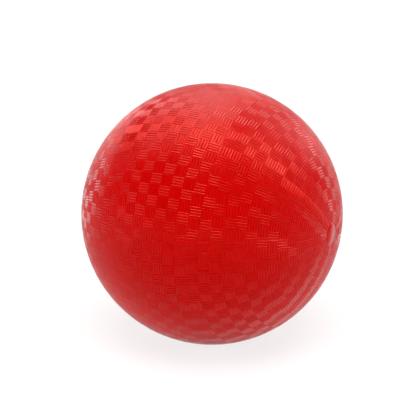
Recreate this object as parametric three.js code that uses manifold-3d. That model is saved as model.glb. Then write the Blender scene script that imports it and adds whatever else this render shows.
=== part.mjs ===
// A rubber playground ball, 8.5 inches across, in the layers that it is made of: a moulded rubber
// cover, a nylon winding, a butyl bladder, and a needle valve of a housing and a plug.
//
// Millimetres, +Z up. The origin is on the floor, in the middle of the flat patch that the
// inflated ball presses onto it with its own weight. The valve looks along -X.

import * as THREE from 'three';
import { mergeVertices } from 'three/addons/utils/BufferGeometryUtils.js';
import Module from 'manifold-3d';

// Ball
const ballDiameter = 215.9;
const contactDiameter = 20;

// Walls of the layers, from the outside in
const coverWall = 1.5;
const windingWall = 0.4;
const bladderWall = 0.8;

// Clearance between pieces that lie against each other
const fitGap = 0.3;

// Valve plug: a head in the valve's face, a stem and a bulb that holds the plug in its pocket
const valveFaceDepth = 0.3;
const plugHeadDiameter = 5.6;
const plugHeadThickness = 1.2;
const plugStemDiameter = 4.2;
const plugStemLength = 3.2;
const plugBulbDiameter = 6.6;
const plugBulbLength = 5.5;
const plugBulbStraightLength = 1.8;
const plugTipDiameter = 3.4;
const needleMouthDiameter = 1.8;
const needleMouthDepth = 2.4;
const needleMouthFloorDiameter = 0.8;

// Valve housing: a neck round the plug, a dished flange under the bladder and a tail that opens
// into the air space
const housingWall = 1.4;
const housingFloor = 1.6;
const tailHoleDiameter = 2.4;
const flangeDiameter = 26;
const flangeThickness = 1.0;
const housingEdgeRadius = 0.5;

// Collar that the cover rubber forms round the valve's neck, through the winding
const collarWall = 3;

// Facets
const ballSegments = 44;
const ballRings = 22;
const valveSegments = 32;
const edgeSteps = 3;
const leastRingShare = 0.125;

// Radii of the layers, measured from the ball's centre
const coverOuter = ballDiameter / 2;
const coverInner = coverOuter - coverWall;
const windingOuter = coverInner - fitGap;
const windingInner = windingOuter - windingWall;
const bladderOuter = windingInner - fitGap;
const bladderInner = bladderOuter - bladderWall;
const flangeOuter = bladderInner - fitGap;
const flangeInner = flangeOuter - flangeThickness;

// Every layer is pressed in by the same depth over the contact patch
const contactDepth = coverOuter - Math.sqrt(coverOuter ** 2 - (contactDiameter / 2) ** 2);
const centreHeight = coverOuter - contactDepth;

// Distances along the valve's axis, measured from the ball's centre
const valveFace = coverOuter - valveFaceDepth;
const headUnderside = valveFace - plugHeadThickness;
const bulbTop = headUnderside - plugStemLength;
const bulbEnd = bulbTop - plugBulbLength;
const pocketFloor = bulbEnd - fitGap;
const tailEnd = pocketFloor - housingFloor;

// Radii about the valve's axis
const seatRadius = plugHeadDiameter / 2 + fitGap;
const throatRadius = plugStemDiameter / 2 + fitGap;
const pocketRadius = plugBulbDiameter / 2 + fitGap;
const neckRadius = seatRadius + housingWall;
const bodyRadius = pocketRadius + housingWall;
const valveBoreRadius = neckRadius + fitGap;
const collarRadius = valveBoreRadius + collarWall;
const windingHoleRadius = collarRadius + fitGap;

const wasm = await Module();
wasm.setup();

// A closed geometry as a solid that can be cut and joined
function solidOf(geometry) {
  geometry.deleteAttribute('normal');
  geometry.deleteAttribute('uv');
  const merged = mergeVertices(geometry, 1e-5);
  const index = merged.index.array;
  const triangles = [];
  for (let i = 0; i < index.length; i += 3) {
    const [a, b, c] = index.slice(i, i + 3);
    if (a !== b && b !== c && c !== a) {
      triangles.push(a, b, c);
    }
  }
  const mesh = new wasm.Mesh({
    numProp: 3,
    vertProperties: new Float32Array(merged.attributes.position.array),
    triVerts: new Uint32Array(triangles),
  });
  return new wasm.Manifold(mesh);
}

// A cut or joined solid as a geometry with flat facets
function geometryOf(solid) {
  const mesh = solid.getMesh();
  const geometry = new THREE.BufferGeometry();
  geometry.setAttribute('position', new THREE.BufferAttribute(mesh.vertProperties, 3));
  geometry.setIndex(new THREE.BufferAttribute(mesh.triVerts, 1));
  geometry.computeVertexNormals();
  return geometry;
}

// A full ball of the given radius, revolved about +Z, with its underside pressed level. A ring that
// falls on the flat, or too close to its edge, is left out.
function pressedBall(radius) {
  const flatHeight = radius - contactDepth;
  const flatAngle = Math.acos(flatHeight / radius);
  const ringAngle = Math.PI / ballRings;
  const outline = [
    new THREE.Vector2(0, -flatHeight),
    new THREE.Vector2(radius * Math.sin(flatAngle), -flatHeight),
  ];
  for (let ring = 1; ring < ballRings; ring += 1) {
    const angle = ring * ringAngle;
    if (angle > flatAngle + ringAngle * leastRingShare) {
      outline.push(new THREE.Vector2(radius * Math.sin(angle), -radius * Math.cos(angle)));
    }
  }
  outline.push(new THREE.Vector2(0, radius));
  const geometry = new THREE.LatheGeometry(outline, ballSegments);
  geometry.rotateX(Math.PI / 2);
  return solidOf(geometry);
}

// A full layer between two radii
function layer(outerRadius, innerRadius) {
  return pressedBall(outerRadius).subtract(pressedBall(innerRadius));
}

// A solid revolved about the valve's axis from an outline of radii and distances from the centre
function valveTurning(outline) {
  const points = outline.map(([radius, distance]) => new THREE.Vector2(radius, distance));
  const geometry = new THREE.LatheGeometry(points, valveSegments);
  geometry.rotateZ(Math.PI / 2);
  return solidOf(geometry);
}

// A round bar along the valve's axis, from the housing's tail to outside the ball
function valveBar(radius) {
  const outside = coverOuter + coverWall;
  return valveTurning([[0, tailEnd], [radius, tailEnd], [radius, outside], [0, outside]]);
}

// The rounded edge round the closed end of the housing, from its underside to its side
function housingEdge() {
  const points = [];
  for (let step = 0; step <= edgeSteps; step += 1) {
    const angle = (step / edgeSteps - 1) * (Math.PI / 2);
    points.push([
      bodyRadius - housingEdgeRadius * (1 - Math.cos(angle)),
      tailEnd + housingEdgeRadius * (1 + Math.sin(angle)),
    ]);
  }
  return points;
}

// The moulded cover, with its collar round the valve's neck
function coverSolid() {
  const collar = valveBar(collarRadius).intersect(layer(coverInner + coverWall / 2, windingInner));
  return layer(coverOuter, coverInner).add(collar).subtract(valveBar(valveBoreRadius));
}

// The winding leaves a round hole for the cover's collar
function windingSolid() {
  return layer(windingOuter, windingInner).subtract(valveBar(windingHoleRadius));
}

// The bladder's hole takes the valve's neck
function bladderSolid() {
  return layer(bladderOuter, bladderInner).subtract(valveBar(valveBoreRadius));
}

// The housing is one moulding: neck, dished flange and the body round the plug's pocket
function valveHousingSolid() {
  const flangeMiddle = (flangeOuter + flangeInner) / 2;
  const body = valveTurning([
    [tailHoleDiameter / 2, tailEnd],
    ...housingEdge(),
    [bodyRadius, flangeMiddle],
    [neckRadius, flangeMiddle],
    [neckRadius, valveFace],
    [seatRadius, valveFace],
    [seatRadius, headUnderside - fitGap],
    [throatRadius, headUnderside - fitGap],
    [throatRadius, bulbTop + fitGap],
    [pocketRadius, bulbTop + fitGap],
    [pocketRadius, pocketFloor],
    [tailHoleDiameter / 2, pocketFloor],
    [tailHoleDiameter / 2, tailEnd],
  ]);
  const disc = valveBar(flangeDiameter / 2).intersect(layer(flangeOuter, flangeInner));
  const middleOfNeckWall = (neckRadius + seatRadius) / 2;
  return body.add(disc.subtract(valveBar(middleOfNeckWall)));
}

// The self-sealing plug, with the needle's mouth in its head
function valvePlugGeometry() {
  const outline = [
    [0, bulbEnd],
    [plugTipDiameter / 2, bulbEnd],
    [plugBulbDiameter / 2, bulbTop - plugBulbStraightLength],
    [plugBulbDiameter / 2, bulbTop],
    [plugStemDiameter / 2, bulbTop],
    [plugStemDiameter / 2, headUnderside],
    [plugHeadDiameter / 2, headUnderside],
    [plugHeadDiameter / 2, valveFace],
    [needleMouthDiameter / 2, valveFace],
    [needleMouthFloorDiameter / 2, valveFace - needleMouthDepth],
    [0, valveFace - needleMouthDepth],
  ];
  return geometryOf(valveTurning(outline));
}

const looks = {
  cover: { color: 0xc4080c, roughness: 0.42 },
  winding: { color: 0xe4dfd0, roughness: 0.75 },
  bladder: { color: 0x1d1c1c, roughness: 0.6 },
  valve: { color: 0x242322, roughness: 0.55 },
};

const ball = new THREE.Group();
ball.name = 'rubber_ball';
ball.position.z = centreHeight;

function addPiece(name, geometry, look) {
  const material = new THREE.MeshStandardMaterial({ ...look, metalness: 0 });
  const mesh = new THREE.Mesh(geometry, material);
  mesh.name = name;
  ball.add(mesh);
}

addPiece('cover', geometryOf(coverSolid()), looks.cover);
addPiece('nylon_winding', geometryOf(windingSolid()), looks.winding);
addPiece('bladder', geometryOf(bladderSolid()), looks.bladder);
addPiece('valve_housing', geometryOf(valveHousingSolid()), looks.valve);
addPiece('valve_plug', valvePlugGeometry(), looks.valve);

export default ball;
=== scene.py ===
"""Rubber playground ball: the moulded basket-weave cover and the layers and valve behind it."""

from math import asin, cos, degrees, dist, pi, radians, sin, sqrt, tan

import bpy
import numpy as np
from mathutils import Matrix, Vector


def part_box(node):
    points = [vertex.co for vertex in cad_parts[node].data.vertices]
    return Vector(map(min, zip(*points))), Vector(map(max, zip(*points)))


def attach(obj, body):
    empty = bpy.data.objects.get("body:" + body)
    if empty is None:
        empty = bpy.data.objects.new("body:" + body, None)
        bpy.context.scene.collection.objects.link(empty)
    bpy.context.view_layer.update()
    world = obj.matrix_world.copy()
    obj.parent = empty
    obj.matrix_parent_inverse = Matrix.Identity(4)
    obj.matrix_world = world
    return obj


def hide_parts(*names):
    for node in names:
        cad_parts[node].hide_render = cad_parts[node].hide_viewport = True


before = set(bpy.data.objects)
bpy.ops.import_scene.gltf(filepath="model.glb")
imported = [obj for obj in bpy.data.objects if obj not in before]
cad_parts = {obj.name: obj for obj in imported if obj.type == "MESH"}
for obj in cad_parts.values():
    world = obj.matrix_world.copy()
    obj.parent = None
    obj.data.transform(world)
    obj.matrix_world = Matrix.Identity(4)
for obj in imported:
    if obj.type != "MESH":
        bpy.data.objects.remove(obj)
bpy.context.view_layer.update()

MM = 0.001
BODY = "root"
TURN = 360.0

# The ball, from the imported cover: its radius, and its centre above the pressed patch
COVER_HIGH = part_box("cover")[1]
BALL_RADIUS = COVER_HIGH.x
CENTRE = Vector((0.0, 0.0, COVER_HIGH.z - BALL_RADIUS))
VALVE_FACE = -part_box("valve_housing")[0].x

# Layers, and the distances of their faces from the ball's centre
LAYER_GAP = 0.3 * MM
COVER_WALL = 1.5 * MM
WINDING_THICKNESS = 0.4 * MM
BLADDER_WALL = 0.8 * MM
FLANGE_THICKNESS = 1.0 * MM
COVER_INNER = BALL_RADIUS - COVER_WALL
WINDING_OUTER = COVER_INNER - LAYER_GAP
WINDING_INNER = WINDING_OUTER - WINDING_THICKNESS
BLADDER_OUTER = WINDING_INNER - LAYER_GAP
BLADDER_INNER = BLADDER_OUTER - BLADDER_WALL
FLANGE_OUTER = BLADDER_INNER - LAYER_GAP
FLANGE_INNER = FLANGE_OUTER - FLANGE_THICKNESS

# Basket weave. Latitude runs from -90 at the valve, on -X, to +90 on +X. Longitude turns about +X,
# from -Y towards +Z. Both are in degrees, and all rings of blocks line up on the common meridian.
# From the equator, the number of pairs in a ring stays the same over LEVEL_RINGS rings, then over two
# rings at a time up to ring TWO_RING_ZONES_END, and then changes with every ring.
RING_HEIGHT = 5.0
RINGS_TO_POLE = 17
EQUATOR_PAIRS = 37
LEVEL_RINGS = 3
TWO_RING_ZONES_END = 9
COMMON_MERIDIAN = 232.55

# Ribs of a block, and half the gutter between blocks. A rib's profile is given by shares of its width
# and of the relief's depth, and by how many degrees its normal leans. Its ends lean by the first
# angle at their foot and by the second at their top.
RELIEF_DEPTH = 0.44 * MM
GUTTER_HALF = 0.07 * MM
RIB_COUNT = 4
RIB_END_RUN = 0.27 * MM
RIB_PROFILE = ((0.13, 0.55, -42.0), (0.36, 1.0, -8.0), (0.64, 1.0, 8.0), (0.87, 0.55, 42.0))
RIB_END_LEANS = (60.0, 22.0)

# Plain land at each pole, inside the last ring of blocks. Its shoulder is given by degrees above
# the foot, share of the relief's depth, and relief.
LAND_FOOT_LATITUDE = 85.15
LAND_RADIUS = 8.6 * MM
LAND_SHOULDER = ((0.22, 0.3, 0.7), (0.1, 0.75, 0.3), (0.0, 1.0, 0.0))

# Bore for the valve, and the collar that the cover forms round it through the winding. The edge of
# its mouth is given by shares of the rounding, inwards from the valve's face and out from the bore.
BORE_RADIUS = 4.8 * MM
BORE_ROUNDING = 0.3 * MM
BORE_EDGE = ((0.0, 2.0), (0.3, 0.3), (1.0, 0.0))
COLLAR_RADIUS = 7.8 * MM
WINDING_HOLE_RADIUS = 8.1 * MM

# Parting seam that the mould leaves round the bladder, halfway between its poles: its height, half
# its width in degrees, and its profile in shares of both
SEAM_HEIGHT = 0.12 * MM
SEAM_HALF = 0.35
SEAM_PROFILE = ((1.0, 0.0), (0.6, 1.0), (-0.6, 1.0), (-1.0, 0.0))

# Valve, in millimetres: radius about the valve's axis, distance from the ball's centre, and how
# far the corner's rounding reaches along its sides
FACE = VALVE_FACE / MM
NECK_RADIUS = 4.5
NECK_FILLET = 0.2
BODY_RADIUS = 5.0
BODY_FILLET = 0.6
FLANGE_RADII = (6.5, 8.5, 10.5)
FLANGE_EDGE = 13.0
FLANGE_ROUNDING = 0.42
PLUG_CORNERS = (
    (0.0, FACE - 2.4, 0.0),
    (0.4, FACE - 2.4, 0.0),
    (0.9, FACE, 0.22),
    (2.8, FACE, 0.28),
    (2.8, FACE - 1.2, 0.2),
    (2.1, FACE - 1.2, 0.25),
    (2.1, FACE - 4.4, 0.25),
    (3.3, FACE - 4.4, 0.35),
    (3.3, FACE - 6.2, 0.7),
    (1.7, FACE - 9.9, 0.5),
    (0.0, FACE - 9.9, 0.0),
)
HOUSING_MOUTH = ((3.1, FACE, 0.2), (NECK_RADIUS, FACE, 0.25))
HOUSING_BODY = (
    (BODY_RADIUS, FACE - 11.8, 0.8),
    (1.2, FACE - 11.8, 0.3),
    (1.2, FACE - 10.2, 0.2),
    (3.6, FACE - 10.2, 0.5),
    (3.6, FACE - 4.1, 0.25),
    (2.4, FACE - 4.1, 0.2),
    (2.4, FACE - 1.5, 0.2),
    (3.1, FACE - 1.5, 0.2),
)

# Facets of the turned shapes: segments round them, degrees along a shell, steps in a rounded edge,
# and how far before and after that edge the flat side has a point, in shares of its reach
SHELL_SEGMENTS = 96
SHELL_STEP = 3.75
VALVE_SEGMENTS = 72
EDGE_STEPS = 4
FLAT_LEAD = 1.15

# Yarn bands on the winding, and their threads. A thread's height goes from 1 at its crest down to
# 1 - 2 * THREAD_SWING at its edges.
YARN_BANDS = 36
YARN_BAND_HALF = 3.6 * MM
THREAD_PITCH = 0.9 * MM
THREAD_HEIGHT = 0.25 * MM
THREAD_SWING = 0.25
GOLDEN_ANGLE = pi * (3 - sqrt(5))

# Bake layout: the length that a shell's hidden side takes, as a share of its own, and the margin
# round the whole layout
HIDDEN_SHARE = 0.35
LAYOUT_MARGIN = 0.004

# Stands for a normal that the mesh works out itself
UNSET = (np.nan, np.nan, np.nan)


class Solid:
    """Points and faces of one closed piece, with a place in the bake layout for each point."""

    def __init__(self):
        self.points = []
        self.places = []
        self.relief = []
        self.normals = []
        self.faces = []
        self.corner_normals = {}
        self.crisp = []
        self.girth = 0.0

    def point(self, along, radius, longitude, across, relief=1.0, normal=UNSET):
        """A point by its distance along +X from the ball's centre and its radius about X."""
        turn = radians(longitude)
        self.points.append((along, -radius * cos(turn), radius * sin(turn)))
        self.places.append((longitude if radius > 0 else np.nan, across))
        self.relief.append(relief)
        self.normals.append(normal)
        return len(self.points) - 1

    def face(self, corners, flip=False, normals=None):
        """A face by its points, with the normals of its corners where they aren't its points'."""
        if normals:
            self.corner_normals[len(self.faces)] = normals[::-1] if flip else normals
        self.faces.append(tuple(reversed(corners)) if flip else tuple(corners))

    def build(self, name, slot, material, replaced):
        """The mesh object in the frame, lifted by what the ball's flat patch presses in."""
        points = np.array(self.points)
        crest = points * (BALL_RADIUS / np.linalg.norm(points, axis=1))[:, None]
        lift = np.maximum(0.0, -(CENTRE.z + crest[:, 2]))
        points[:, 2] += lift
        points += np.array(CENTRE)
        mesh = bpy.data.meshes.new(name)
        mesh.from_pydata(points.tolist(), [], self.faces)
        mesh.polygons.foreach_set("use_smooth", [True] * len(mesh.polygons))
        self.mark_crisp_edges(mesh)
        self.set_normals(mesh, lift > 0)
        self.lay_out(mesh)
        relief = mesh.attributes.new("relief", "FLOAT", "POINT")
        relief.data.foreach_set("value", self.relief)
        mesh.materials.append(material)
        mesh.update()
        piece = bpy.data.objects.new(name, mesh)
        bpy.context.scene.collection.objects.link(piece)
        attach(piece, BODY)
        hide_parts(replaced)
        return piece

    def mark_crisp_edges(self, mesh):
        if not self.crisp:
            return
        ends = np.empty(len(mesh.edges) * 2, dtype=np.int32)
        mesh.edges.foreach_get("vertices", ends)
        ends = np.sort(ends.reshape(-1, 2).astype(np.int64), axis=1)
        crisp = np.sort(np.array(self.crisp, dtype=np.int64), axis=1)
        count = len(self.points)
        marked = np.isin(ends[:, 0] * count + ends[:, 1], crisp[:, 0] * count + crisp[:, 1])
        sharp = mesh.attributes.new("sharp_edge", "BOOLEAN", "EDGE")
        sharp.data.foreach_set("value", marked)

    def set_normals(self, mesh, pressed):
        """Gives the corners their normals, where they have any and the ball isn't pressed flat."""
        normals = np.array(self.normals)
        normals[pressed] = UNSET
        if np.isnan(normals).all():
            return
        corners = np.empty(len(mesh.loops), dtype=np.int32)
        mesh.loops.foreach_get("vertex_index", corners)
        given = normals[corners]
        starts = np.cumsum([0] + [len(face) for face in self.faces])
        for face, face_normals in self.corner_normals.items():
            given[starts[face]:starts[face + 1]] = face_normals
        smooth = np.empty(len(mesh.loops) * 3)
        mesh.corner_normals.foreach_get("vector", smooth)
        given = np.where(np.isnan(given), smooth.reshape(-1, 3), given)
        mesh.normals_split_custom_set(given.tolist())

    def lay_out(self, mesh):
        """The bake layout: longitude across, and the way along the outline up."""
        corners = np.empty(len(mesh.loops), dtype=np.int32)
        mesh.loops.foreach_get("vertex_index", corners)
        starts = np.empty(len(mesh.polygons), dtype=np.int32)
        mesh.polygons.foreach_get("loop_start", starts)
        totals = np.empty(len(mesh.polygons), dtype=np.int32)
        mesh.polygons.foreach_get("loop_total", totals)
        places = np.array(self.places)[corners]
        at_pole = np.isnan(places[:, 0])
        first = places[np.repeat(starts + at_pole[starts], totals), 0]
        places[at_pole, 0] = first[at_pole]
        places[:, 0] += TURN * np.round((first - places[:, 0]) / TURN)
        if self.girth:
            first = places[np.repeat(starts, totals), 1]
            places[:, 1] += self.girth * np.round((first - places[:, 1]) / self.girth)
        low = places.min(axis=0)
        high = places.max(axis=0)
        places = LAYOUT_MARGIN + (1 - 2 * LAYOUT_MARGIN) * (places - low) / (high - low)
        layout = mesh.uv_layers.new(name="OFBake")
        layout.data.foreach_set("uv", places.ravel())


def wrapped(angle):
    """An angle brought to within half a turn of zero."""
    return (angle + TURN / 2) % TURN - TURN / 2


def opened(row, base):
    """A closed row of (angle, point) as an open one from base, with its first point repeated."""
    angles = [base]
    for (before, _), (after, _) in zip(row, row[1:] + row[:1]):
        angles.append(angles[-1] + (after - before) % TURN)
    return [(angle, point) for angle, (_, point) in zip(angles, row + row[:1])]


def stitch(solid, first, second, flip=False):
    """Triangles between two open rows of (position, point) that run side by side."""
    i = 0
    j = 0
    while i < len(first) - 1 or j < len(second) - 1:
        first_goes = j == len(second) - 1
        if i < len(first) - 1 and not first_goes:
            first_goes = first[i + 1][0] <= second[j + 1][0]
        if first_goes:
            solid.face((first[i][1], first[i + 1][1], second[j][1]), flip)
            i += 1
        else:
            solid.face((first[i][1], second[j + 1][1], second[j][1]), flip)
            j += 1


def stitch_round(solid, south, north):
    """Triangles between two closed rows of (longitude, point)."""
    base = south[0][0]
    start = min(range(len(north)), key=lambda place: abs(wrapped(north[place][0] - base)))
    north = north[start:] + north[:start]
    stitch(solid, opened(south, base), opened(north, base + wrapped(north[0][0] - base)), flip=True)


def circle(solid, along, radius, segments, across, relief=1.0):
    """A closed row of (longitude, point) about the X axis, or one point on the axis."""
    if radius == 0:
        return [(0.0, solid.point(along, 0.0, 0.0, across, relief))]
    turns = [COMMON_MERIDIAN + TURN * step / segments for step in range(segments)]
    return [(turn, solid.point(along, radius, turn, across, relief)) for turn in turns]


def band(solid, before, after):
    """Faces between two circles, the first nearer to the outline's start."""
    for place in range(max(len(before), len(after))):
        ring = []
        for row, steps in ((before, (0, 1)), (after, (1, 0))):
            ring += [row[(place + step) % len(row)][1] for step in steps]
        solid.face(list(dict.fromkeys(ring)))


def turned(solid, outline, segments, across=0.0, weight=1.0, closed=False):
    """Circles along an outline of (along, radius, relief), joined by bands. Returns the circles.

    The outline runs so that the material lies on its left, seen with +X to the right and the
    axis below."""
    rows = []
    for place, (along, radius, relief) in enumerate(outline):
        if place:
            across += weight * dist(outline[place - 1][:2], (along, radius))
        rows.append(circle(solid, along, radius, segments, across, relief))
    for before, after in zip(rows, rows[1:]):
        band(solid, before, after)
    if closed:
        band(solid, rows[-1], rows[0])
        solid.girth = across + weight * dist(outline[-1][:2], outline[0][:2])
    return rows, across


def sphere_place(radius, latitude):
    """(along, radius about X) of a point on a sphere about the ball's centre."""
    return radius * sin(radians(latitude)), radius * cos(radians(latitude))


def sphere_outline(radius, first, last, relief=1.0):
    """An outline on a sphere from one latitude to another, in steps of about SHELL_STEP."""
    steps = max(1, round(abs(last - first) / SHELL_STEP))
    outline = []
    for step in range(steps + 1):
        latitude = first + (last - first) * step / steps
        on_axis = abs(latitude) == TURN / 4
        along, about = sphere_place(radius, latitude)
        outline.append((along, 0.0 if on_axis else about, relief))
    return outline


def latitude_at(radius, about):
    """Latitude, on the valve's side, of a point of a sphere at a radius about X."""
    return -degrees(np.arccos(about / radius))


def along_at(radius, about):
    """Distance along X, on the valve's side, of a point of a sphere at a radius about X."""
    return sphere_place(radius, latitude_at(radius, about))[0]


# Basket weave

def ring_pairs(ring):
    """Pairs of blocks round a ring, by its number counted from the equator."""
    middle = 0.0
    if ring >= TWO_RING_ZONES_END:
        middle = RING_HEIGHT * (ring + 0.5)
    elif ring >= LEVEL_RINGS:
        middle = RING_HEIGHT * (LEVEL_RINGS + 1 + 2 * ((ring - LEVEL_RINGS) // 2))
    return round(EQUATOR_PAIRS * cos(radians(middle)))


def weave_across(latitude):
    """Distance over the ball from the pole on +X, for the bake layout."""
    return BALL_RADIUS * radians(TURN / 4 - latitude)


def weave_directions(latitude, longitude):
    """Unit directions outwards, eastwards and northwards at a place on the ball."""
    rise, turn = radians(latitude), radians(longitude)
    outwards = Vector((sin(rise), -cos(rise) * cos(turn), cos(rise) * sin(turn)))
    eastwards = Vector((0.0, sin(turn), cos(turn)))
    northwards = Vector((cos(rise), sin(rise) * cos(turn), -sin(rise) * sin(turn)))
    return outwards, eastwards, northwards


def leaning(outwards, sideways, lean):
    """The normal of a face that leans sideways by an angle."""
    return tuple(outwards * cos(radians(lean)) + sideways * sin(radians(lean)))


def weave_point(solid, latitude, longitude, height, lean=0.0, eastward=False):
    """A point of the weave, whose normal leans to the east or north."""
    along, about = sphere_place(BALL_RADIUS - RELIEF_DEPTH * (1 - height), latitude)
    outwards, eastwards, northwards = weave_directions(latitude, longitude)
    normal = leaning(outwards, eastwards if eastward else northwards, lean)
    return solid.point(along, about, longitude, weave_across(latitude), height, normal)


def add_block(solid, south, west, east, along_meridian):
    """One block of ribs. Returns its sides' ground points, as rows of (angle, point)."""
    inset = degrees(GUTTER_HALF / BALL_RADIUS)
    low = south + inset
    high = south + RING_HEIGHT - inset

    def place(over, along):
        """Latitude and longitude, from the shares over the ribs and along them."""
        eastward, northward = (over, along) if along_meridian else (along, over)
        latitude = low + northward * (high - low)
        side = inset / cos(radians(latitude))
        return latitude, west + side + eastward * (east - west - 2 * side)

    length = BALL_RADIUS * radians(high - low)
    if not along_meridian:
        length = BALL_RADIUS * cos(radians((low + high) / 2)) * radians(east - west)
    end_run = RIB_END_RUN / length
    ground = []
    for number in range(RIB_COUNT + 1):
        ends = []
        for along in (0.0, 1.0):
            latitude, longitude = place(number / RIB_COUNT, along)
            angle = longitude if along_meridian else latitude
            ends.append((angle, weave_point(solid, latitude, longitude, 0.0), latitude, longitude))
        ground.append(ends)
    outwards, eastwards, northwards = weave_directions(*place(0.5, 0.5))
    lengthwise = northwards if along_meridian else eastwards
    end_normals = []
    for side in (-1, 1):
        end_normals.append([leaning(outwards, lengthwise, side * lean) for lean in RIB_END_LEANS])
    for number in range(RIB_COUNT):
        lines = [[end[1] for end in ground[number]]]
        for share, height, lean in RIB_PROFILE:
            over = (number + share) / RIB_COUNT
            lines.append([
                weave_point(solid, *place(over, along), height, lean, along_meridian)
                for along in (end_run, 1 - end_run)
            ])
        lines.append([end[1] for end in ground[number + 1]])
        add_rib(solid, lines, end_normals, flip=along_meridian)
    first_end = [ends[0][:2] for ends in ground]
    second_end = [ends[1][:2] for ends in ground]
    angle_at = 2 if along_meridian else 3
    first_side, second_side = ([(end[angle_at], end[1]) for end in ground[side]] for side in (0, -1))
    if along_meridian:
        return {"south": first_end, "north": second_end, "west": first_side, "east": second_side}
    return {"south": first_side, "north": second_side, "west": first_end, "east": second_end}


def add_rib(solid, lines, end_normals, flip):
    """A rib from its long lines, each of two points, with a sloping face at each end.

    A wall is as steep down to the groove's bottom as at its foot."""
    for place, (line, following) in enumerate(zip(lines, lines[1:])):
        wall = {0: following, len(lines) - 2: line}.get(place)
        leans = wall and [solid.normals[wall[end]] for end in (0, 0, 1, 1)]
        solid.face((line[0], following[0], following[1], line[1]), flip, leans)
        solid.crisp += [(line[end], following[end]) for end in (0, 1)]
    foot, shoulder, far_shoulder, far_foot = range(1, len(lines) - 1)
    for end in (0, 1):
        at_ground, at_top = end_normals[end]
        halfway = tuple((low + high) / 2 for low, high in zip(at_ground, at_top))
        leans = [at_ground, halfway, at_top, at_top, halfway, at_ground]
        for places in (
            (0, len(lines) - 1, far_foot, foot),
            (foot, far_foot, far_shoulder, shoulder),
        ):
            corners = [lines[place][end] for place in places]
            solid.face(corners, flip != bool(end), [leans[place] for place in places])


def add_ring(solid, number):
    """A ring of blocks from latitude number times RING_HEIGHT. Returns its two edges."""
    pairs = ring_pairs(number if number >= 0 else -1 - number)
    period = TURN / pairs
    # The first block is centred on the common meridian, or half a pair west of it in odd rings
    start = COMMON_MERIDIAN - period * (0.25 + 0.5 * (number % 2))
    south = number * RING_HEIGHT
    blocks = []
    for block in range(2 * pairs):
        west = start + block * period / 2
        blocks.append(add_block(solid, south, west, west + period / 2, block % 2 == 0))
    for block, following in zip(blocks, blocks[1:] + blocks[:1]):
        stitch(solid, block["east"], following["west"])
    south_edge = [point for block in blocks for point in block["south"]]
    north_edge = [point for block in blocks for point in block["north"]]
    return south_edge, north_edge


def cover_shape():
    """The cover: weave, plain land at both poles, bore, collar and smooth inside."""
    solid = Solid()
    rings = [add_ring(solid, number) for number in range(-RINGS_TO_POLE, RINGS_TO_POLE)]
    for (_, north_edge), (south_edge, _) in zip(rings, rings[1:]):
        stitch_round(solid, north_edge, south_edge)

    crown = sphere_outline(BALL_RADIUS, TURN / 4, -latitude_at(BALL_RADIUS, LAND_RADIUS))
    rows, _ = turned(solid, crown + land_shoulder(1), SHELL_SEGMENTS)
    stitch_round(solid, rings[-1][1], rows[-1])

    near_land = land_shoulder(-1)[::-1]
    near_land.append((along_at(BALL_RADIUS, LAND_RADIUS), LAND_RADIUS, 1.0))
    for inwards, outwards in BORE_EDGE:
        along = -VALVE_FACE + inwards * BORE_ROUNDING
        near_land.append((along, BORE_RADIUS + outwards * BORE_ROUNDING, 1.0))
    for radius in (BORE_RADIUS, COLLAR_RADIUS):
        near_land.append((along_at(WINDING_INNER, radius), radius, 1.0))
    rows, across = turned(solid, near_land, SHELL_SEGMENTS, weave_across(-LAND_FOOT_LATITUDE))
    stitch_round(solid, rows[0], rings[0][0])
    inside = sphere_outline(COVER_INNER, latitude_at(COVER_INNER, COLLAR_RADIUS), TURN / 4)
    inner_rows, _ = turned(solid, inside, SHELL_SEGMENTS, across + BORE_RADIUS, HIDDEN_SHARE)
    band(solid, rows[-1], inner_rows[0])
    return solid


def land_shoulder(side):
    """The rounded step from a pole's land down to the ground of the weave, at one pole."""
    points = []
    for above_foot, depth, relief in LAND_SHOULDER:
        latitude = LAND_FOOT_LATITUDE + above_foot
        along, about = sphere_place(BALL_RADIUS - depth * RELIEF_DEPTH, latitude)
        points.append((side * along, about, relief))
    return points


# Layers behind the cover

def seam_outline(radius):
    """A raised parting seam round the middle of a sphere, from +X to -X."""
    outline = []
    for share, height in SEAM_PROFILE:
        along, about = sphere_place(radius + height * SEAM_HEIGHT, share * SEAM_HALF)
        outline.append((along, about, 1.0))
    return outline


def shell_shape(outer, inner, hole, seam=False):
    """A thin shell with a round hole for the valve."""
    solid = Solid()
    outside = sphere_outline(outer, TURN / 4, latitude_at(outer, hole))
    if seam:
        outside = [place for place in outside if abs(place[0]) > radians(SEAM_HALF) * outer]
        middle = sum(place[0] > 0 for place in outside)
        outside[middle:middle] = seam_outline(outer)
    inside = sphere_outline(inner, latitude_at(inner, hole), TURN / 4)
    outer_rows, across = turned(solid, outside, SHELL_SEGMENTS)
    inner_rows, _ = turned(solid, inside, SHELL_SEGMENTS, across + outer - inner, HIDDEN_SHARE)
    band(solid, outer_rows[-1], inner_rows[0])
    return solid


# Valve

def softened(corners):
    """An outline in metres from a closed row of corners, each rounded where it has a reach.

    A point just before and after each curve keeps the flat sides flat in the light."""
    outline = []
    for place, (radius, distance, reach) in enumerate(corners):
        corner = Vector((-distance, radius)) * MM
        if reach == 0:
            outline.append((corner.x, corner.y, 0.0))
            continue
        sides = []
        for other in (corners[place - 1], corners[(place + 1) % len(corners)]):
            sides.append((Vector((-other[1], other[0])) * MM - corner).normalized() * reach * MM)
        outline.append((*(corner + FLAT_LEAD * sides[0]), 0.0))
        for step in range(EDGE_STEPS + 1):
            share = step / EDGE_STEPS
            point = corner + (1 - share) ** 2 * sides[0] + share ** 2 * sides[1]
            outline.append((*point, 1.0))
        outline.append((*(corner + FLAT_LEAD * sides[1]), 0.0))
    return outline


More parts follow.
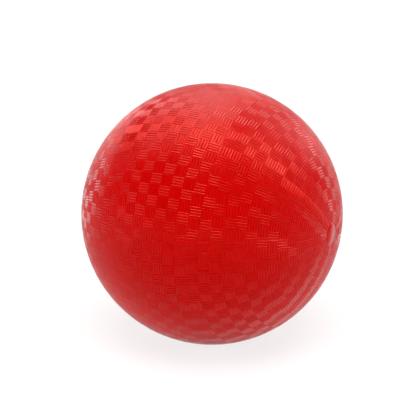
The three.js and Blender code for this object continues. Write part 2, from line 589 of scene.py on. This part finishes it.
def flange_face(sphere, radii):
    """Corners of one dished face of the flange, at radii about the valve's axis."""
    return tuple((radius, sqrt((sphere / MM) ** 2 - radius ** 2), 0.0) for radius in radii)


def valve_plug_shape():
    solid = Solid()
    turned(solid, softened(PLUG_CORNERS)[::-1], VALVE_SEGMENTS)
    return solid


def valve_housing_shape():
    """Neck, dished flange and the body round the plug's pocket, as one moulding."""
    outer_radii = (NECK_RADIUS, *FLANGE_RADII, FLANGE_EDGE)
    inner_radii = (FLANGE_EDGE, *FLANGE_RADII[::-1], BODY_RADIUS)
    root, *outer_face, outer_edge = flange_face(FLANGE_OUTER, outer_radii)
    inner_edge, *inner_face, body = flange_face(FLANGE_INNER, inner_radii)
    corners = (
        *HOUSING_MOUTH,
        (*root[:2], NECK_FILLET),
        *outer_face,
        (*outer_edge[:2], FLANGE_ROUNDING),
        (*inner_edge[:2], FLANGE_ROUNDING),
        *inner_face,
        (*body[:2], BODY_FILLET),
        *HOUSING_BODY,
    )
    solid = Solid()
    turned(solid, softened(corners)[::-1], VALVE_SEGMENTS, closed=True)
    return solid


# Materials

# Colours of the red rubber: cloudy patches, grooves brightened by painted light against their shade,
# worn crests, and the tint of its gloss
RED_DEEP = (0.50, 0.0005, 0.0006, 1.0)
RED_BRIGHT = (0.54, 0.0008, 0.0009, 1.0)
RED_GROOVE_PAINTED_LIGHT = (0.62, 0.0006, 0.0007, 1.0)
RED_WORN = (0.57, 0.005, 0.005, 1.0)
RED_GLOSS = (1.0, 0.14, 0.08, 1.0)

# Colours of the yarn: painted shade between the threads and under the bands, on the threads, and where
# it has aged
YARN_PAINTED_SHADE = (0.30, 0.27, 0.22, 1.0)
YARN_CREAM = (0.78, 0.75, 0.67, 1.0)
YARN_AGED = (0.62, 0.54, 0.40, 1.0)

# Black rubber: how much paler its rubbed edges are, and how far its roughness varies
RUBBED_GAIN = 1.8
ROUGHNESS_SPREAD = 0.06

# Height of the fine grain in all rubber
GRAIN_HEIGHT = 0.02 * MM

# Sockets of a node that mixes colours: its factor and two colours, and its result
MIX_INPUTS = (0, 6, 7)
MIX_RESULT = 2


def new_material(name):
    """A material, its node tree and its Principled shader."""
    material = bpy.data.materials.new(name)
    material.use_nodes = True
    tree = material.node_tree
    return material, tree, tree.nodes["Principled BSDF"]


def add_node(tree, kind, **settings):
    node = tree.nodes.new(kind)
    for name, value in settings.items():
        setattr(node, name, value)
    return node


def put(tree, socket, source):
    """Links an input to another node's output, or sets its value."""
    if isinstance(source, bpy.types.NodeSocket):
        tree.links.new(source, socket)
    else:
        socket.default_value = source


def feed(tree, node, **sources):
    """Links or sets a node's inputs by name, with _ for a space."""
    for name, source in sources.items():
        put(tree, node.inputs[name.replace("_", " ")], source)


def from_object(tree):
    """Place on the object, in metres."""
    return add_node(tree, "ShaderNodeTexCoord").outputs["Object"]


def noise(tree, scale, detail=3.0, roughness=0.55):
    """Noise over the object, scale in features to the metre."""
    texture = add_node(tree, "ShaderNodeTexNoise")
    feed(tree, texture, Vector=from_object(tree), Scale=scale, Detail=detail, Roughness=roughness)
    return texture.outputs["Fac"]


def ranged(tree, value, low, high, to_low=0.0, to_high=1.0):
    """A value's range from low to high, taken to another range."""
    node = add_node(tree, "ShaderNodeMapRange")
    feed(tree, node, Value=value, From_Min=low, From_Max=high, To_Min=to_low, To_Max=to_high)
    return node.outputs["Result"]


def mixed(tree, share, first, second):
    """A colour from the first to the second, by the share of the second."""
    node = add_node(tree, "ShaderNodeMix", data_type="RGBA")
    for place, source in zip(MIX_INPUTS, (share, first, second)):
        put(tree, node.inputs[place], source)
    return node.outputs[MIX_RESULT]


def maths(tree, operation, *sources):
    node = add_node(tree, "ShaderNodeMath", operation=operation)
    for socket, source in zip(node.inputs, sources):
        put(tree, socket, source)
    return node.outputs[0]


def vector_maths(tree, operation, first, second, result="Vector"):
    node = add_node(tree, "ShaderNodeVectorMath", operation=operation)
    put(tree, node.inputs[0], first)
    put(tree, node.inputs[1], second)
    return node.outputs[result]


def bumped(tree, height, distance, strength):
    """A normal that height raises by up to a distance."""
    node = add_node(tree, "ShaderNodeBump")
    feed(tree, node, Height=height, Distance=distance, Strength=strength)
    return node.outputs["Normal"]


def relief_of(tree):
    """The mesh's relief, from 0 in a groove to 1 on a crest or an edge."""
    node = add_node(tree, "ShaderNodeAttribute", attribute_name="relief")
    return node.outputs["Fac"]


def red_rubber():
    """Semi-gloss moulded rubber, brighter in the grooves by painted light against their shade, and
    paler on worn crests.
    """
    material, tree, shader = new_material("red_rubber")
    cloudy = ranged(tree, noise(tree, scale=28.0), low=0.35, high=0.65)
    body = mixed(tree, cloudy, RED_DEEP, RED_BRIGHT)
    # Painted light: the grooves, at relief 0, take a brighter red that offsets their shade
    ground = mixed(tree, relief_of(tree), RED_GROOVE_PAINTED_LIGHT, body)
    patches = noise(tree, scale=60.0, detail=5.0, roughness=0.7)
    worn = ranged(tree, patches, low=0.62, high=0.78, to_high=0.25)
    colour = mixed(tree, maths(tree, "MULTIPLY", worn, relief_of(tree)), ground, RED_WORN)
    smears = noise(tree, scale=220.0, detail=4.0)
    gloss = ranged(tree, smears, low=0.3, high=0.7, to_low=0.16, to_high=0.22)
    grain = bumped(tree, noise(tree, scale=2600.0, detail=2.0), GRAIN_HEIGHT, strength=0.5)
    feed(tree, shader, Base_Color=colour, Roughness=gloss, Normal=grain)
    feed(tree, shader, Specular_IOR_Level=0.4, Specular_Tint=RED_GLOSS)
    return material


def black_rubber(name, colour, pale, roughness, scale):
    """Matt black rubber, paler in cloudy patches and where its edges are rubbed."""
    material, tree, shader = new_material(name)
    clouds = noise(tree, scale, detail=5.0, roughness=0.65)
    dusted = mixed(tree, ranged(tree, clouds, low=0.42, high=0.72), (*colour, 1.0), (*pale, 1.0))
    scuffs = ranged(tree, noise(tree, scale=900.0), low=0.4, high=0.65, to_high=0.6)
    rubbed = (*(RUBBED_GAIN * part for part in pale), 1.0)
    tint = mixed(tree, maths(tree, "MULTIPLY", relief_of(tree), scuffs), dusted, rubbed)
    smears = noise(tree, 3 * scale)
    gloss = ranged(tree, smears, 0.3, 0.7, roughness - ROUGHNESS_SPREAD, roughness + ROUGHNESS_SPREAD)
    grain = bumped(tree, noise(tree, scale=3000.0, detail=2.0), GRAIN_HEIGHT, strength=0.5)
    feed(tree, shader, Base_Color=tint, Roughness=gloss, Normal=grain)
    return material


def band_direction(number):
    """Unit direction square to the great circle of one yarn band."""
    rise = (number + 0.5) / YARN_BANDS
    level = sqrt(1 - rise ** 2)
    turn = number * GOLDEN_ANGLE
    return level * cos(turn), level * sin(turn), rise


def nylon_yarn():
    """Yarn wound over the bladder in flat bands of threads, each along a great circle."""
    material, tree, shader = new_material("nylon_yarn")
    from_centre = vector_maths(tree, "SUBTRACT", from_object(tree), CENTRE)
    height = ranged(tree, noise(tree, scale=700.0), low=0.3, high=0.7, to_high=0.3)
    for number in range(YARN_BANDS):
        place = vector_maths(tree, "DOT_PRODUCT", from_centre, band_direction(number), "Value")
        on_band = maths(tree, "COMPARE", place, 0.0, YARN_BAND_HALF)
        thread = maths(tree, "SINE", maths(tree, "MULTIPLY", place, 2 * pi / THREAD_PITCH))
        raised = maths(tree, "MULTIPLY_ADD", thread, THREAD_SWING, 1 - THREAD_SWING)
        band_height = maths(tree, "MULTIPLY", on_band, raised)
        below = maths(tree, "MULTIPLY", maths(tree, "SUBTRACT", 1.0, on_band), height)
        height = maths(tree, "ADD", band_height, below)
    # Painted shade: the lower the yarn lies, between threads and under the bands, the darker it is
    # painted
    shade = mixed(tree, height, YARN_PAINTED_SHADE, YARN_CREAM)
    aged = ranged(tree, noise(tree, scale=40.0), low=0.35, high=0.65, to_high=0.35)
    gloss = ranged(tree, height, low=0.0, high=1.0, to_low=0.85, to_high=0.6)
    threads = bumped(tree, height, THREAD_HEIGHT, strength=0.8)
    feed(tree, shader, Base_Color=mixed(tree, aged, shade, YARN_AGED), Roughness=gloss, Normal=threads)
    return material


RED_RUBBER = red_rubber()
YARN = nylon_yarn()
BUTYL = black_rubber(
    "butyl_rubber", (0.011, 0.011, 0.011), (0.05, 0.049, 0.047), roughness=0.62, scale=45.0
)
VALVE_RUBBER = black_rubber(
    "valve_rubber", (0.016, 0.015, 0.014), (0.03, 0.029, 0.027), roughness=0.5, scale=300.0
)
PLUG_RUBBER = black_rubber(
    "plug_rubber", (0.022, 0.021, 0.02), (0.04, 0.038, 0.036), roughness=0.42, scale=400.0
)

cover_shape().build("cover_basket_weave", "cover_rubber", RED_RUBBER, "cover")
shell_shape(WINDING_OUTER, WINDING_INNER, WINDING_HOLE_RADIUS).build(
    "yarn_winding", "nylon_yarn", YARN, "nylon_winding"
)
shell_shape(BLADDER_OUTER, BLADDER_INNER, BORE_RADIUS, seam=True).build(
    "butyl_bladder", "bladder_rubber", BUTYL, "bladder"
)
valve_housing_shape().build("needle_valve_housing", "valve_rubber", VALVE_RUBBER, "valve_housing")
valve_plug_shape().build("needle_valve_plug", "plug_rubber", PLUG_RUBBER, "valve_plug")


# Camera at the photograph's viewing angle

VIEW_AZIMUTH = 26.28
VIEW_ELEVATION = 20.12
VIEW_DISTANCE = 20 * BALL_RADIUS
PICTURE_SIDE = 420
SENSOR_WIDTH = 36.0
BALL_RADIUS_IN_PICTURE = 130.9
BALL_RIGHT_OF_MIDDLE = 2.07
BALL_BELOW_MIDDLE = 3.95


def direction(azimuth, elevation):
    """From the object towards a viewer or lamp: azimuth 0 is -Y and 90 is +X."""
    turn, rise = radians(azimuth), radians(elevation)
    return Vector((sin(turn) * cos(rise), -cos(turn) * cos(rise), sin(rise)))


def add_camera():
    data = bpy.data.cameras.new("camera")
    focal_pixels = BALL_RADIUS_IN_PICTURE / tan(asin(BALL_RADIUS / VIEW_DISTANCE))
    data.sensor_width = SENSOR_WIDTH
    data.lens = SENSOR_WIDTH * focal_pixels / PICTURE_SIDE
    data.shift_x = -BALL_RIGHT_OF_MIDDLE / PICTURE_SIDE
    data.shift_y = BALL_BELOW_MIDDLE / PICTURE_SIDE
    camera = bpy.data.objects.new("camera", data)
    bpy.context.scene.collection.objects.link(camera)
    back = direction(VIEW_AZIMUTH, VIEW_ELEVATION)
    camera.location = CENTRE + VIEW_DISTANCE * back
    camera.rotation_euler = (-back).to_track_quat("-Z", "Y").to_euler()
    bpy.context.scene.camera = camera


# Lamps: azimuth from the camera and elevation in degrees, distance, width, height, radiance, and
# whether they give the gloss or the light

LAMPS = {
    "softbox_above": (0.0, 75.0, 2.2, 2.2, 2.2, 3.7, "light"),
    "softbox_left": (-65.0, 10.0, 2.4, 1.4, 1.2, 4.8, "light"),
    "softbox_right": (65.0, 10.0, 2.4, 1.4, 1.2, 4.8, "light"),
    "softbox_back": (180.0, 14.0, 2.4, 1.4, 1.2, 4.2, "light"),
    "gloss_above": (0.0, 89.0, 2.0, 0.9, 0.9, 16.0, "gloss"),
    "gloss_back_high": (180.0, 60.0, 2.0, 1.0, 0.7, 11.0, "gloss"),
    "gloss_back_low": (-168.0, 36.0, 2.0, 1.3, 0.7, 3.8, "gloss"),
    "gloss_left": (-110.0, 58.0, 2.0, 0.9, 1.3, 5.0, "gloss"),
    "gloss_right": (86.0, 54.0, 2.0, 0.7, 1.2, 10.0, "gloss"),
    "gloss_right_back": (138.0, 38.0, 2.0, 1.2, 0.9, 2.6, "gloss"),
    "gloss_right_strip": (136.0, 15.0, 2.0, 1.0, 0.45, 4.5, "gloss"),
    "gloss_left_strip": (-145.0, 8.0, 2.0, 1.3, 0.6, 2.4, "gloss"),
}


def add_lamp(name, azimuth, elevation, distance, width, height, radiance, gives):
    data = bpy.data.lights.new(name, "AREA")
    data.shape = "RECTANGLE"
    data.size = width
    data.size_y = height
    data.energy = radiance * pi * width * height
    lamp = bpy.data.objects.new(name, data)
    bpy.context.scene.collection.objects.link(lamp)
    towards = direction(VIEW_AZIMUTH + azimuth, elevation)
    lamp.location = CENTRE + distance * towards
    lamp.rotation_euler = (-towards).to_track_quat("-Z", "Y").to_euler()
    lamp.visible_camera = False
    lamp.visible_glossy = gives == "gloss"
    lamp.visible_diffuse = gives == "light"


# Faint light from all round, and the floor: its colour to the light, and its colour and glow to
# the camera and in reflections
WORLD_STRENGTH = 0.05
FLOOR_PALE = (0.8, 0.8, 0.8, 1.0)
FLOOR_SHADED = (0.32, 0.32, 0.32, 1.0)
FLOOR_GLOW = 0.78


def set_world():
    world = bpy.data.worlds.new("world")
    bpy.context.scene.world = world
    world.use_nodes = True
    background = world.node_tree.nodes["Background"]
    background.inputs["Color"].default_value = (1.0, 1.0, 1.0, 1.0)
    background.inputs["Strength"].default_value = WORLD_STRENGTH


def white_stage():
    """Pale to the light, and white to the camera and in reflections, where it keeps the shadow."""
    material = bpy.data.materials.new("pale_stage")
    material.use_nodes = True
    tree = material.node_tree
    tree.nodes.clear()
    path = add_node(tree, "ShaderNodeLightPath")
    seen = maths(tree, "ADD", path.outputs["Is Camera Ray"], path.outputs["Is Glossy Ray"])
    seen = maths(tree, "ADD", seen, path.outputs["Is Transmission Ray"])
    pale = add_node(tree, "ShaderNodeBsdfDiffuse")
    feed(tree, pale, Color=FLOOR_PALE)
    glow = add_node(tree, "ShaderNodeEmission")
    feed(tree, glow, Strength=FLOOR_GLOW)
    shaded = add_node(tree, "ShaderNodeBsdfDiffuse")
    feed(tree, shaded, Color=FLOOR_SHADED)
    white = add_node(tree, "ShaderNodeAddShader")
    either = add_node(tree, "ShaderNodeMixShader")
    output = add_node(tree, "ShaderNodeOutputMaterial")
    for source, socket in (
        (glow.outputs[0], white.inputs[0]),
        (shaded.outputs[0], white.inputs[1]),
        (maths(tree, "MINIMUM", seen, 1.0), either.inputs[0]),
        (pale.outputs[0], either.inputs[1]),
        (white.outputs[0], either.inputs[2]),
        (either.outputs[0], output.inputs["Surface"]),
    ):
        tree.links.new(source, socket)
    return material


STAGE_RADIUS = 8.0
STAGE_WALL = 1.0
STAGE_SEGMENTS = 96


def add_stage():
    """A round floor with a low wall at its far edge."""
    points = [(0.0, 0.0, 0.0)]
    for height in (0.0, STAGE_WALL):
        for step in range(STAGE_SEGMENTS):
            turn = 2 * pi * step / STAGE_SEGMENTS
            points.append((STAGE_RADIUS * cos(turn), STAGE_RADIUS * sin(turn), height))
    faces = []
    for step in range(STAGE_SEGMENTS):
        following = (step + 1) % STAGE_SEGMENTS
        low, next_low = 1 + step, 1 + following
        faces.append((0, low, next_low))
        faces.append((low, low + STAGE_SEGMENTS, next_low + STAGE_SEGMENTS, next_low))
    mesh = bpy.data.meshes.new("stage_floor")
    mesh.from_pydata(points, [], faces)
    mesh.materials.append(white_stage())
    floor = bpy.data.objects.new("stage_floor", mesh)
    bpy.context.scene.collection.objects.link(floor)


add_camera()
add_stage()
set_world()
for lamp_name, lamp_values in LAMPS.items():
    add_lamp(lamp_name, *lamp_values)
bpy.context.scene.view_settings.view_transform = "Standard"
